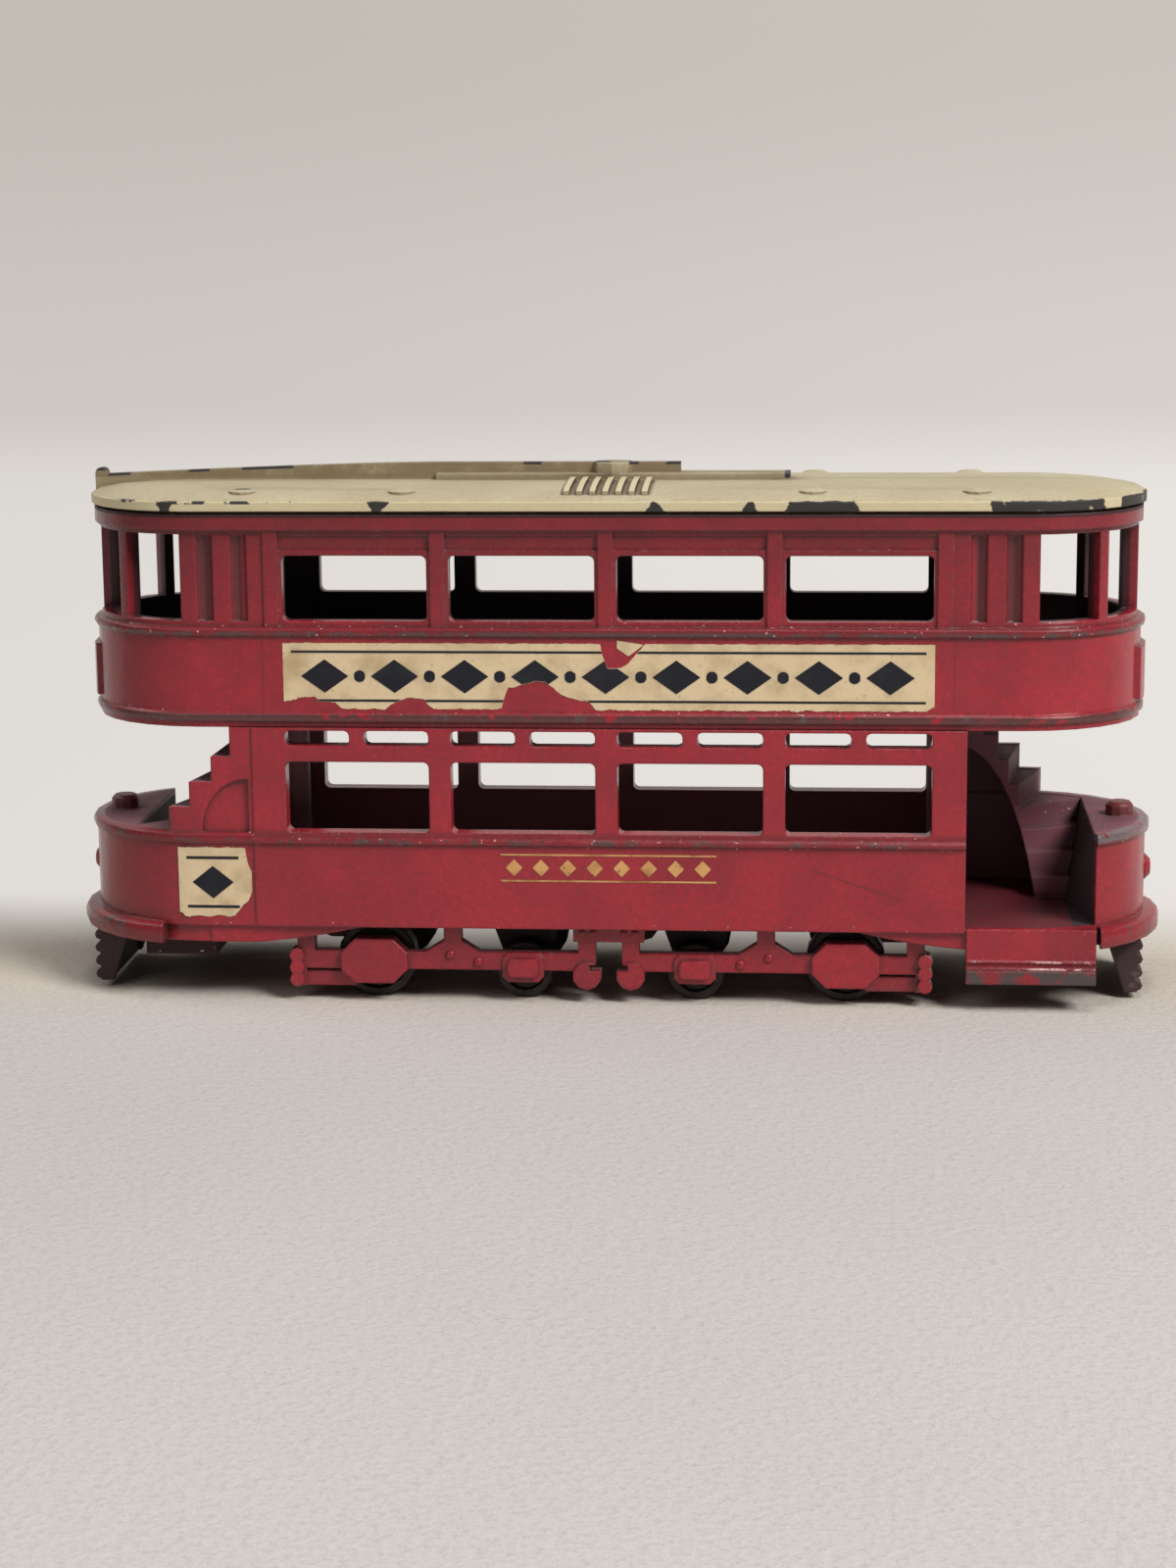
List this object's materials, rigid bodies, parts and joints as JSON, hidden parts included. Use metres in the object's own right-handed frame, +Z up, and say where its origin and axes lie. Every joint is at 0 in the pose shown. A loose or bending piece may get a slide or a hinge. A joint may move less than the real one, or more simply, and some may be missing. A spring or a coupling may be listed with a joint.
{
  "type": "toy tram",
  "caption": "Old die-cast toy tram with two decks, worn red paint, a chipped cream roof with its trolley pole, and small rolling wheels.",
  "frame": {"origin": "on the ground below the middle of the tram", "axes": "+X along the tram, +Y across it away from the side shown, +Z up"},
  "size_m": [0.0796, 0.0196, 0.0384],
  "materials": {
    "red_paint": "dull crimson enamel, worn to grey metal along the edges",
    "cream_paint": "yellowed cream enamel with dark chips along the edge",
    "dark_casting": "dull dark casting",
    "wheel_metal": "tarnished bare metal",
    "steel": "dulled steel"
  },
  "bodies": {
    "tram": {"lower_body": "red_paint", "upper_deck": "red_paint", "roof": "cream_paint", "base_plate": "dark_casting", "base_rivet_a": "steel", "base_rivet_b": "steel", "deck_rivet_a": "steel", "deck_rivet_b": "steel"},
    "wheelset_large_a": {"axle_large_a": "steel", "wheel_large_a_far": "wheel_metal", "wheel_large_a_near": "wheel_metal"},
    "wheelset_small_a": {"axle_small_a": "steel", "wheel_small_a_far": "wheel_metal", "wheel_small_a_near": "wheel_metal"},
    "wheelset_small_b": {"axle_small_b": "steel", "wheel_small_b_far": "wheel_metal", "wheel_small_b_near": "wheel_metal"},
    "wheelset_large_b": {"axle_large_b": "steel", "wheel_large_b_far": "wheel_metal", "wheel_large_b_near": "wheel_metal"}
  },
  "joints": [
    {"name": "roll_large_a", "type": "hinge", "parent": "tram", "child": "wheelset_large_a", "pos_m": [-0.017, 0, 0.0029], "axis": [0, 1, 0], "continuous": true},
    {"name": "roll_small_a", "type": "hinge", "parent": "tram", "child": "wheelset_small_a", "pos_m": [-0.0062, 0, 0.0021], "axis": [0, 1, 0], "continuous": true},
    {"name": "roll_small_b", "type": "hinge", "parent": "tram", "child": "wheelset_small_b", "pos_m": [0.0062, 0, 0.0021], "axis": [0, 1, 0], "continuous": true},
    {"name": "roll_large_b", "type": "hinge", "parent": "tram", "child": "wheelset_large_b", "pos_m": [0.017, 0, 0.0029], "axis": [0, 1, 0], "continuous": true}
  ]
}
